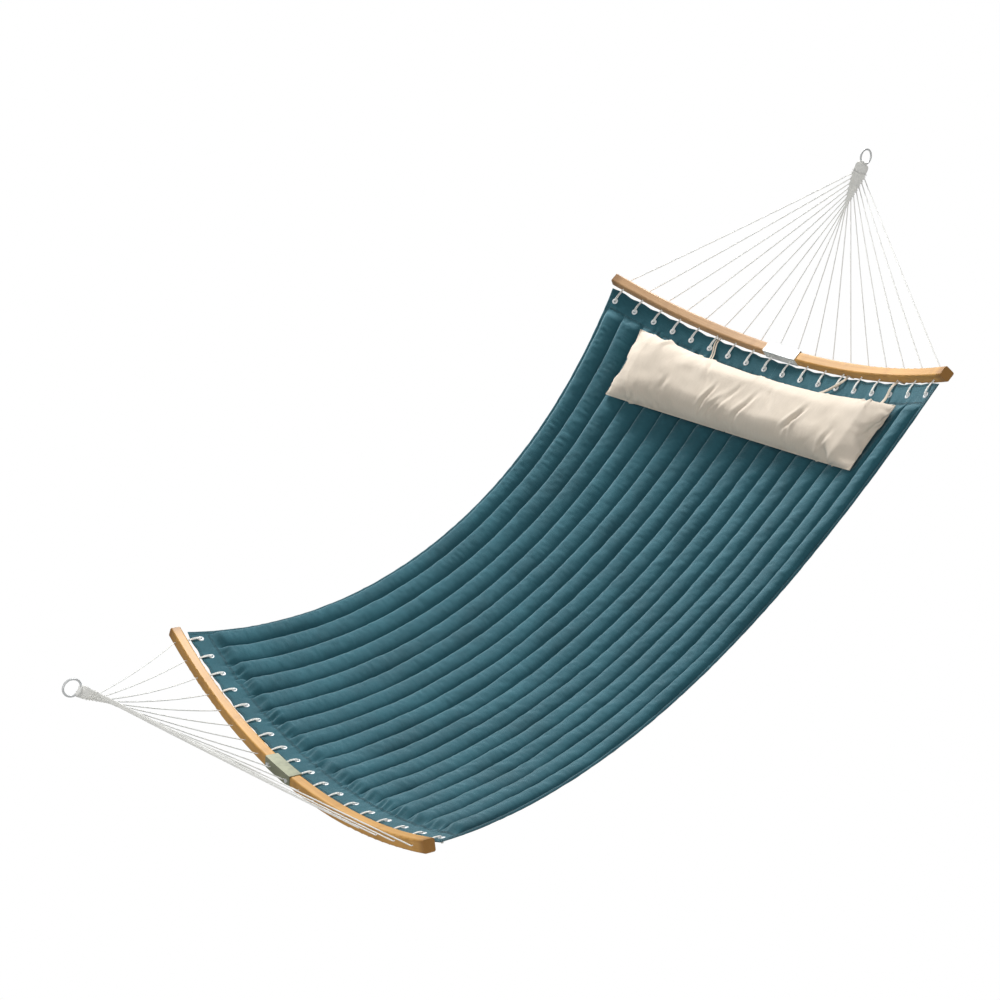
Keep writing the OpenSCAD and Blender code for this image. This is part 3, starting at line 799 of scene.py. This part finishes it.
def bed_lift(end, d, v, top):
    """Height of the cloth: d from the end's bar along the bed, v across it."""
    a = np.abs(v)
    s = d if end is HEAD else LINE_L - d
    tube_index = np.minimum(np.floor(a * CHANNELS / 2), CHANNELS / 2 - 1)
    low = tube_index / (CHANNELS / 2)
    high = np.minimum((tube_index + 1) / (CHANNELS / 2), BED_EDGE)
    phase = np.clip((a - low) / (high - low), 0, 1)
    across = np.abs(2 * phase - 1)
    profile = np.power(np.clip(1 - across**2.3, 0, 1), 0.62)
    key = tube_index * 7.3 + np.sign(v) * 31
    fill = 1 + 0.16 * value_noise(s * 7, key, 3) + 0.06 * value_noise(s * 26, key, 4)
    ragged = 0.007 * value_noise(s * 3, key, 12)
    started = smooth((d - HEM_TO + 0.008 + ragged) / 0.036)
    crest = CREST if top else CREST_UNDER
    if top:
        crest = crest - (crest - PILLOW_BASE) * pillow_press(s, v)
    lift = VALLEY + (crest - VALLEY) * profile * fill
    pucker = value_noise(s * 95, key + a * 40, 5) * 0.0013 + value_noise(s * 210, key, 6) * 0.0006
    lift = lift + pucker * np.sin(np.pi * phase) * (1 - 0.65 * profile) * 2.2
    lift = lift + 0.0011 * value_noise(s * 38 + a * 22, key + a * 9, 7) * profile
    hem = HEM_LIFT + 0.0006 * value_noise(s * 30, v * 24, 8)
    lift = hem + (lift - hem) * started
    y = v * HALF_WIDTH
    gather = GATHER[end.name] * np.exp(-(((d - GATHER_AT) / GATHER_REACH) ** 2))
    lift = lift + gather * value_noise(y * 85, d * 9 + 3, 9) * (1 - smooth((a - 0.96) / 0.02))
    side = smooth((a - BED_EDGE + 0.002) / 0.003)
    flat = SIDE_HEM_LIFT * (1 - 0.4 * smooth((a - 0.992) / 0.008)) + 0.0006 * value_noise(s * 60, a, 10)
    lift = lift + (flat - lift) * side * started
    return lift if top else -lift


def bed_weights(d, v, s):
    """Share of the bar half's turn at a point of the cloth: all at the bar, none at mid-length."""
    y = np.abs(v) * edge_width(s / LINE_L)
    lengthwise = smooth((MID_LENGTH - d) / (MID_LENGTH - HEM_TO))
    return lengthwise * smooth((y - PIVOT_Y) / 0.025)


def bed_rows():
    """Distances of the bed's rows of points from the bar, closest near the hem."""
    fine = 2
    hem = np.linspace(HEM_FROM, HEM_TO, 12 * fine, endpoint=False)
    start = np.linspace(HEM_TO, 0.19, 12 * fine, endpoint=False)
    rest = np.linspace(0.19, MID_LENGTH, 110 * fine + 1)
    return np.concatenate([hem, start, rest[:-1], [MID_LENGTH - 0.0003, MID_LENGTH]])


def bed_columns():
    """Shares across one side of the bed, closest beside the sewn lines."""
    per_tube = 14
    columns = []
    for k in range(CHANNELS // 2):
        low, high = k / (CHANNELS / 2), min((k + 1) / (CHANNELS / 2), BED_EDGE)
        even = np.linspace(0.06, 0.94, per_tube)
        columns.append(low + (high - low) * np.concatenate([[0.0, 0.012], even, [0.985]]))
    columns.append(np.linspace(BED_EDGE, 1, 6))
    return np.concatenate(columns)


def bed_surface(end, side, d, a, top):
    """Points of the upper or lower cover, and where they lie along and across the bed."""
    v = side * a
    shifted = d + hem_shift(d, a)
    s = shifted if end is HEAD else LINE_L - shifted
    return bed_point(s, v, bed_lift(end, d, v, top)), s, v


def bed_quarter(end, side_name, side):
    """One closed quarter of the bed, from one bar half to mid-length."""
    d, a = np.meshgrid(bed_rows(), bed_columns(), indexing="ij")
    top, s, v = bed_surface(end, side, d, a, True)
    under, _, _ = bed_surface(end, side, d, a, False)
    rows, columns = d.shape
    count = rows * columns
    points = np.concatenate([top.reshape(-1, 3), under.reshape(-1, 3)])
    flip = (side * end.turn) > 0
    upper = grid_faces(rows, columns, flip=not flip)
    lower = grid_faces(rows, columns, flip=flip) + count
    faces = np.concatenate([upper, lower])
    surface_faces = len(faces)
    index = np.arange(count).reshape(rows, columns)
    border = grid_border(index)
    following = np.roll(border, -1)
    walls = np.stack([border, following, following + count, border + count], -1)
    if not flip:
        walls = walls[:, ::-1]
    faces = np.concatenate([faces, walls]).tolist()
    uv = np.stack([v * HALF_WIDTH, s], -1).reshape(-1, 2)
    uv = np.concatenate([uv, uv + 3.0])
    piece = make_piece(f"bed_{end.name}_{side_name}", points, faces, BED_CLOTH, uv)
    for face in piece.data.polygons[surface_faces:]:
        face.use_smooth = False
    nodes = ["bed_top_cover", "bed_wadding", "bed_bottom_cover", f"side_hem_{side_name}"]
    nodes += [f"{end.name}_hem_{side_name}", f"{end.name}_hem_centre"]
    finish_bed_piece(piece, end, side_name, nodes)


def finish_bed_piece(piece, end, side_name, nodes):
    """Hides the CAD parts that a bed piece is drawn in place of, and bakes its placement into its mesh."""
    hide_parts(*nodes)
    s = HEM_FROM if end is HEAD else LINE_L - HEM_FROM
    start = bed_point(MID_LENGTH, 0.0, 0.0)
    finish = bed_point(s, SIDES[side_name] * 0.5, 0.0)
    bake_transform(piece)


def stitch_ends():
    """Start and finish of every hem stitch, as distance from the bar and share across."""
    runs = []
    for row in HEM_STITCH_ROWS:
        a0 = np.arange(0.004, 0.975, STITCH_PITCH / HALF_WIDTH)
        a1 = a0 + STITCH_LENGTH / HALF_WIDTH
        runs.append((np.full_like(a0, row), a0, np.full_like(a0, row), a1))
    for column in SIDE_STITCH_COLUMNS:
        d0 = np.arange(HEM_FROM + 0.004, MID_LENGTH - STITCH_PITCH, STITCH_PITCH)
        flat = np.full_like(d0, column)
        runs.append((d0, flat, d0 + STITCH_LENGTH, flat))
    return [np.concatenate(part) for part in zip(*runs)]


def hem_stitches(end, side_name, side):
    """Raised thread stitches along the hems of one quarter."""
    d0, a0, d1, a1 = stitch_ends()
    sides, rings = 5, 4
    points, weights = [], []
    for ring in range(rings):
        t = ring / (rings - 1)
        d, a = d0 + (d1 - d0) * t, a0 + (a1 - a0) * t
        centre, s, v = bed_surface(end, side, d, a, True)
        over, _, _ = bed_surface(end, side, d + 0.001, a, True)
        beyond, _, _ = bed_surface(end, side, d, np.minimum(a + 0.001, 1.0), True)
        along_d, along_a = over - centre, beyond - centre
        normal = unit(np.cross(along_d, along_a))
        normal *= np.sign(normal[:, 2])[:, None]
        run = along_d * (d1 - d0)[:, None] + along_a * (a1 - a0)[:, None]
        run /= np.linalg.norm(run, axis=1)[:, None] + 1e-12
        across = np.cross(run, normal)
        bow = math.sin(math.pi * t)
        centre = centre + normal * (0.0002 + 0.0005 * bow)
        r = 0.00035 + 0.00030 * bow
        for j in range(sides):
            angle = math.tau * j / sides
            points.append(centre + r * (math.cos(angle) * across + math.sin(angle) * normal))
            weights.append(bed_weights(d, v, s))
    points, weights = np.stack(points, 1), np.stack(weights, 1)
    base = grid_faces(rings, sides, flip=True, wrap=True)
    per = rings * sides
    faces = (base[None] + (np.arange(len(d0)) * per)[:, None, None]).reshape(-1, 4).tolist()
    piece = make_piece(f"bed_stitches_{end.name}_{side_name}", points.reshape(-1, 3), faces, BED_THREAD)
    finish_bed_piece(piece, end, side_name, [f"{end.name}_hem_{side_name}"])


# ---- pillow
# Cloth simulation: how much larger the sheets are cut, its length and how far points may move
CUT_WIDER = 1.2
CUT_LONGER = 1.02
SIM_FRAMES = 20
SWELL_CAP = 0.075
# The finished pillow: how far its ends and upper edge are drawn in, its height and its lift
END_PULL = 0.008
SIDE_PULL = -0.004
PILLOW_CROWN = 0.054
SEAM_R = 0.0021
SEAM_LAY = 0.02
SEAM_LIFT = 0.017
PILLOW_STIFF_LIFT = 0.010
# Folds: from x, y to x, y, then depth and half width
PILLOW_FOLDS = [
    (0.236, 0.170, 0.085, 0.125, 0.0080, 0.0065),
    (0.238, 0.145, 0.110, 0.060, 0.0070, 0.0060),
    (0.230, 0.110, 0.050, 0.020, 0.0040, 0.0080),
    (0.228, 0.010, 0.060, -0.055, 0.0050, 0.0085),
    (0.205, -0.215, 0.070, -0.280, 0.0075, 0.0085),
    (0.215, -0.245, 0.130, -0.235, 0.0050, 0.0060),
    (0.020, 0.215, 0.120, 0.165, 0.0045, 0.0070),
    (0.190, 0.340, 0.120, 0.330, 0.0030, 0.0090),
    (0.060, -0.080, 0.150, -0.140, 0.0030, 0.0100),
    (0.225, -0.400, 0.130, -0.430, 0.0035, 0.0090),
]


def pillow_grid():
    """Shares across and along each pillow sheet, and half the pillow's length."""
    step = 0.0065
    half_l = PILLOW_HALF * HALF_WIDTH
    rows = int(PILLOW_WIDTH / step) + 1
    columns = int(2 * half_l / step) // 2 * 2 + 1
    p, q = np.meshgrid(np.linspace(0, 1, rows), np.linspace(-1, 1, columns), indexing="ij")
    return p, q, half_l


def pillow_mesh():
    """Two sheets sewn along their edges, cut wider than the finished pillow."""
    p, q, half_l = pillow_grid()
    rows, columns = p.shape
    full = np.sqrt(np.clip(1 - np.abs(2 * p - 1) ** 3, 0, 1) * np.clip(1 - np.abs(q) ** 8, 0, 1))
    x = PILLOW_WIDTH * (0.5 + CUT_WIDER * (p - 0.5))
    y = q * half_l * CUT_LONGER
    top = np.stack([x, y, 0.018 * full], -1).reshape(-1, 3)
    under = np.stack([x, y, -0.018 * full], -1).reshape(-1, 3)
    index = np.arange(rows * columns).reshape(rows, columns)
    border = grid_border(index)
    keep = np.ones(rows * columns, bool)
    keep[border] = False
    second = np.where(keep, rows * columns + np.cumsum(keep) - 1, np.arange(rows * columns))
    faces_top = grid_faces(rows, columns)
    faces_under = second[grid_faces(rows, columns, flip=True)]
    points = np.concatenate([top, under[keep]])
    flat_place = np.stack([p * (PILLOW_WIDTH - lower_pull(q)), q * half_l], -1).reshape(-1, 2)
    uv = np.concatenate([flat_place, flat_place[keep] + 2.0])
    edges = {"upper": index[0], "lower": index[-1], "near": index[:, 0], "far": index[:, -1]}
    return points, np.concatenate([faces_top, faces_under]), border, uv, edges


def square_up(points, edges, half_l):
    """Eases the blown-up pillow back to its sewn size, its lower edge drawn in as in the photo."""
    x, y, z = points.T.copy()
    near, far = points[edges["near"]], points[edges["far"]]
    y0 = np.interp(x, near[:, 0], near[:, 1])
    y1 = np.interp(x, far[:, 0], far[:, 1])
    share = (y - y0) / (y1 - y0)
    bow = END_PULL * np.sin(np.pi * np.clip((x - x.min()) / (x.max() - x.min()), 0, 1))
    new_y = (share * 2 - 1) * (half_l - bow)
    upper, lower = points[edges["upper"]], points[edges["lower"]]
    x0 = np.interp(y, upper[:, 1], upper[:, 0])
    x1 = np.interp(y, lower[:, 1], lower[:, 0])
    waist = SIDE_PULL * (1 - np.clip(np.abs(new_y) / half_l, 0, 1) ** 4)
    share_x = (x - x0) / (x1 - x0)
    new_x = waist + share_x * (PILLOW_WIDTH - waist - lower_pull(new_y / half_l))
    return new_x, new_y, z, share_x * PILLOW_WIDTH


def fold_depth(x, y):
    """Soft folds of the filled cover, each along a line from one place to another."""
    depth = np.zeros_like(x)
    for x0, y0, x1, y1, deep, wide in PILLOW_FOLDS:
        along = np.array([x1 - x0, y1 - y0])
        length = np.linalg.norm(along)
        along = along / length
        run = (x - x0) * along[0] + (y - y0) * along[1]
        bend = 0.004 * np.sin(run / length * math.pi)
        off = (x - x0) * along[1] - (y - y0) * along[0] + bend
        fade = smooth(run / (0.25 * length)) * smooth((length - run) / (0.6 * length))
        ridge = np.exp(-((off / wide) ** 2)) - 0.5 * np.exp(-(((np.abs(off) - 1.9 * wide) / wide) ** 2))
        depth -= deep * fade * ridge
    return depth


def inflate(points, faces):
    """Blows the sewn sheets up with Blender's cloth, so that the seams gather by themselves."""
    mesh = bpy.data.meshes.new("pillow_sim")
    mesh.from_pydata(points.tolist(), [], faces.tolist())
    mesh.update()
    piece = bpy.data.objects.new("pillow_sim", mesh)
    scene.collection.objects.link(piece)
    modifier = piece.modifiers.new("Cloth", "CLOTH")
    settings = modifier.settings
    settings.quality = 6
    settings.mass = 0.3
    settings.tension_stiffness = 25
    settings.compression_stiffness = 8
    settings.shear_stiffness = 8
    settings.bending_stiffness = 0.15
    settings.use_pressure = True
    settings.uniform_pressure_force = 4.0
    settings.effector_weights.gravity = 0
    modifier.point_cache.frame_start = 1
    modifier.point_cache.frame_end = SIM_FRAMES
    for step in range(1, SIM_FRAMES + 1):
        scene.frame_set(step)
    posed = piece.evaluated_get(bpy.context.evaluated_depsgraph_get())
    result = np.array([vertex.co for vertex in posed.data.vertices])
    scene.frame_set(1)
    bpy.data.objects.remove(piece)
    move = result - points
    distance = np.linalg.norm(move, axis=1)[:, None]
    return points + move * np.minimum(1, SWELL_CAP / np.maximum(distance, 1e-9))


def pillow():
    """Filled pillow on the bed, in two halves, one on each side of its middle."""
    points, faces, border, uv, edges = pillow_mesh()
    half_l = PILLOW_HALF * HALF_WIDTH
    points = inflate(points, faces)
    x, y, z, cut_x = square_up(points, edges, half_l)
    z = z * (PILLOW_CROWN / float(z.max()))
    body = smooth(z / 0.025)
    near_end = smooth((-y / half_l - 0.80) / 0.20)
    z = z * np.clip((half_l + 0.002 - np.abs(y)) / 0.075, 0, 1) ** 0.45
    z = z + body * fold_depth(cut_x, y)
    z += near_end * 0.0034 * value_noise(x * 80, y * 12, 42) * smooth(z / 0.008)
    z += 0.0016 * value_noise(x * 30 + y * 14, y * 22 - x * 9, 43) * body
    lift = np.where(z > 0, SEAM_LIFT + z, SEAM_LIFT * (1 + z / PILLOW_CROWN))
    lift = np.maximum(lift, 0.0) + PILLOW_BASE + PILLOW_STIFF_LIFT * (1 - (y / half_l) ** 2)
    s = PILLOW_FROM + x
    v = PILLOW_SHIFT + y / HALF_WIDTH
    placed = bed_point(s, v, lift)
    centre_y = placed[:, 1][faces].mean(1)
    seam = placed[border]
    for side_name, side in SIDES.items():
        chosen = faces[(centre_y * side) > 0]
        used = np.unique(chosen)
        remap = np.zeros(len(placed), int)
        remap[used] = np.arange(len(used))
        half_faces = remap[chosen].tolist()
        piece = make_piece(f"pillow_{side_name}", placed[used], half_faces, PILLOW_CLOTH, uv[used])
        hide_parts("pillow_cover", "pillow_filling")
        finish_pillow_piece(piece, side_name)
        seam_piece(side_name, side, seam)


def finish_pillow_piece(piece, side_name):
    """Bakes a pillow piece's placement into its mesh."""
    start = bed_point(MID_LENGTH, 0.0, 0.0)
    finish = bed_point(HEM_FROM, SIDES[side_name] * 0.5, 0.0)
    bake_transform(piece)


def seam_piece(side_name, side, seam):
    """Raised sewn edge round the pillow, on one side of its middle."""
    keep = seam[:, 1] * side > 0
    start = int(np.argmax(~keep & np.roll(keep, -1)))
    order = np.roll(np.arange(len(seam)), -start - 1)
    order = order[keep[order]]
    path = seam[order]
    points, faces = tube(path, SEAM_R, sides=8, lobes=4, twist=math.tau / SEAM_LAY)
    along = np.repeat(np.arange(len(path)) * 0.006, 8)
    around = np.tile(np.arange(8) * 0.0016, len(path))
    uv = np.stack([around, along], -1)
    piece = make_piece(f"pillow_seam_{side_name}", points, faces, PILLOW_CLOTH, uv)
    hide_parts("pillow_cover")
    finish_pillow_piece(piece, side_name)


def tape(path, across, width, thickness):
    """Flat woven tape along a path; across is its width direction."""
    path, across = np.asarray(path, float), np.asarray(across, float)
    along = unit(np.gradient(path, axis=0))
    across = unit(across - along * np.sum(across * along, 1)[:, None])
    out = np.cross(along, across)
    corners = [(-1, -0.6), (-0.8, -1), (0.8, -1), (1, -0.6), (1, 0.6), (0.8, 1), (-0.8, 1), (-1, 0.6)]
    rings = [path + across * (c * width / 2) + out * (d * thickness / 2) for c, d in corners]
    points = np.stack(rings, 1)
    return points.reshape(-1, 3), capped_faces(len(path), len(corners))


def ties():
    """Tapes sewn to the pillow's upper edge and tied round the head bar."""
    for number, (from_v, to_v) in enumerate(TIE_PLACES):
        y = to_v * HALF_WIDTH
        shape = Shape()
        reach = BAR / 2 + 0.0016
        corners = [(-1, 0.0), (-1, -0.75), (-0.8, -0.98), (0.0, -1), (0.6, -1)]
        round_bar = [[corner_x * reach, 0, corner_z * reach] for corner_x, corner_z in corners]
        wrap = HEAD.column(y, curve_through(round_bar, 6))
        ridge = wrap[0]
        edge = bed_point(PILLOW_FROM + 0.004, from_v, PILLOW_BASE + 0.017)
        hem = bed_point(0.085, (from_v + to_v) / 2, 0.011)
        near_bar = bed_point(0.045, to_v, 0.008)
        lead = curve_through([edge, hem, near_bar, ridge], 14)
        strands = (-0.0045, 0.0045) if number == 0 else (0.0,)
        width = 0.005 if number == 0 else 0.009
        for offset in strands:
            shape.add(*tape(lead + np.array([0, offset, 0]), [0.0, 1.0, 0.0], width, TIE_T))
        shape.add(*tape(wrap, [0.0, 1.0, 0.0], width * 1.1, TIE_T))
        piece = shape.piece(f"pillow_tie_{number + 1}", PILLOW_THREAD)
        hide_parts("pillow_ties")
        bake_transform(piece)


# ---- finishes of the CAD parts
def dress(node, material):
    """Gives a kept CAD part its material."""
    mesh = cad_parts[node].data
    if not mesh.materials:
        mesh.materials.append(material)
    for index in range(len(mesh.materials)):
        mesh.materials[index] = material


def dress_cad_parts():
    """Materials of the rings, sleeves, bolts, nuts and bar halves."""
    for end in (HEAD, FOOT):
        for part in ("ring", "pivot_bolts", "pivot_nuts"):
            dress(f"{end.name}_{part}", ZINC)
        dress(f"{end.name}_sleeve", SLEEVE_METAL[end.name])
        for side_name in SIDES:
            dress(f"{end.name}_bar_half_{side_name}", BAMBOO[end.name, side_name])


add_camera()
for end in (HEAD, FOOT):
    suspension_cords(end)
    clew(end)
    eyelets(end)
    loops(end)
    for side_name, side in SIDES.items():
        bed_quarter(end, side_name, side)
        hem_stitches(end, side_name, side)
pillow()
ties()
dress_cad_parts()
add_stage()
